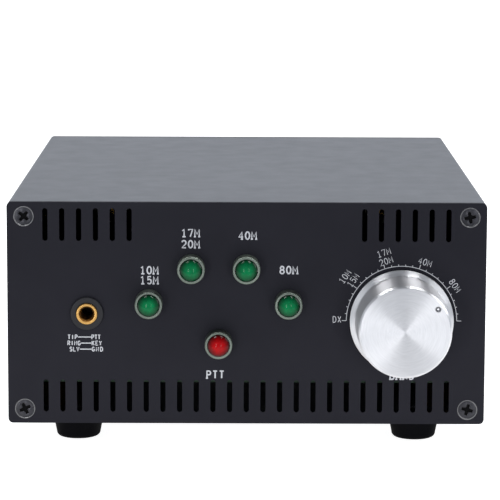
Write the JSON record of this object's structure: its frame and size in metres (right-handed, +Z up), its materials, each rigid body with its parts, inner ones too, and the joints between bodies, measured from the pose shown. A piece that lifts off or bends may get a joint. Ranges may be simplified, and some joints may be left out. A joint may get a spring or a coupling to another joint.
{
  "type": "hf linear amplifier",
  "caption": "Bench radio amplifier in a flat black extruded case: front panel with a turned band knob, indicator lamps and a keying jack, sockets and fan at the rear.",
  "frame": {"origin": "on the table, under the middle of the whole object", "axes": "+Z up, front panel faces -Y, +X to the right as seen from the front"},
  "size_m": [0.145, 0.2192, 0.075],
  "materials": {
    "case_black": "satin black anodised extrusion",
    "panel_black": "black coated board, semi-matt",
    "screw_black": "blackened steel",
    "screw_steel": "zinc plated",
    "foot_rubber": "matt black",
    "bezel_chrome": "polished",
    "lens_green": "translucent green",
    "lens_red": "translucent red",
    "knob_aluminium": "turned and polished",
    "switch_nickel": "nickel plated",
    "phenolic": "laminate",
    "contact_brass": "bright",
    "jack_gold": "gold plated",
    "plastic_black": "moulded black nylon",
    "socket_nickel": "nickel plated",
    "insulator": "white moulded insulator",
    "rocker_red": "gloss red",
    "board_green": "solder mask",
    "spreader_aluminium": "milled",
    "ceramic_white": "matt",
    "ferrite": "dark grey ferrite",
    "coil_red": "red core with enamelled wire",
    "capacitor_orange": "dipped",
    "relay_blue": "moulded blue",
    "capacitor_black": "sleeve",
    "lead_red": "flexible insulation"
  },
  "bodies": {
    "chassis": {"case_lower": "case_black", "case_upper": "case_black", "front_panel": "panel_black", "rear_panel": "panel_black", "front_panel_screws": "screw_black", "rear_panel_screws": "screw_black", "foot_front_left": "foot_rubber", "foot_front_right": "foot_rubber", "foot_rear_left": "foot_rubber", "foot_rear_right": "foot_rubber", "foot_screws": "screw_steel", "lamp_bezel_1": "bezel_chrome", "lamp_bezel_2": "bezel_chrome", "lamp_bezel_3": "bezel_chrome", "lamp_bezel_4": "bezel_chrome", "lamp_bezel_red": "bezel_chrome", "lamp_lens_1": "lens_green", "lamp_lens_2": "lens_green", "lamp_lens_3": "lens_green", "lamp_lens_4": "lens_green", "lamp_lens_red": "lens_red", "lamp_nuts": "switch_nickel", "switch_bushing": "switch_nickel", "switch_nut": "switch_nickel", "switch_washer": "switch_nickel", "switch_tie_rods": "switch_nickel", "switch_wafers": "phenolic", "jack_collar": "plastic_black", "jack_bushing": "jack_gold", "jack_body": "plastic_black", "coax_input_shell": "socket_nickel", "coax_output_shell": "socket_nickel", "coax_insulators": "insulator", "coax_contacts": "jack_gold", "coax_screws": "screw_steel", "power_inlet": "plastic_black", "inlet_contacts": "jack_gold", "rocker_frame": "plastic_black", "fan_frame": "plastic_black", "fan_screws": "screw_black", "ground_stud": "contact_brass", "ground_nuts": "switch_nickel", "main_board": "board_green", "board_standoffs": "contact_brass", "board_screws": "screw_steel", "heat_spreader": "spreader_aluminium", "power_transistors": "ceramic_white", "input_transformer": "ferrite", "output_transformer": "ferrite", "filter_coils": "coil_red", "filter_capacitors": "capacitor_orange", "relays": "relay_blue", "bulk_capacitors": "capacitor_black", "leads": "lead_red"},
    "band_control": {"band_knob": "knob_aluminium", "knob_grub_screw": "screw_steel", "switch_shaft": "switch_nickel", "switch_rotors": "contact_brass"},
    "rocker": {"power_rocker": "rocker_red"},
    "fan_rotor": {"fan_impeller": "plastic_black"}
  },
  "joints": [
    {"name": "band_turn", "type": "hinge", "parent": "chassis", "child": "band_control", "pos_m": [0.047, -0.0896, 0.039], "axis": [0, -1, 0], "range_deg": [-36, 144]},
    {"name": "rocker_tilt", "type": "hinge", "parent": "chassis", "child": "rocker", "pos_m": [0.05, 0.0934, 0.025], "axis": [0, 0, 1], "range_deg": [0, 24]},
    {"name": "fan_spin", "type": "hinge", "parent": "chassis", "child": "fan_rotor", "pos_m": [0, 0.0845, 0.041], "axis": [0, 1, 0], "continuous": true}
  ]
}
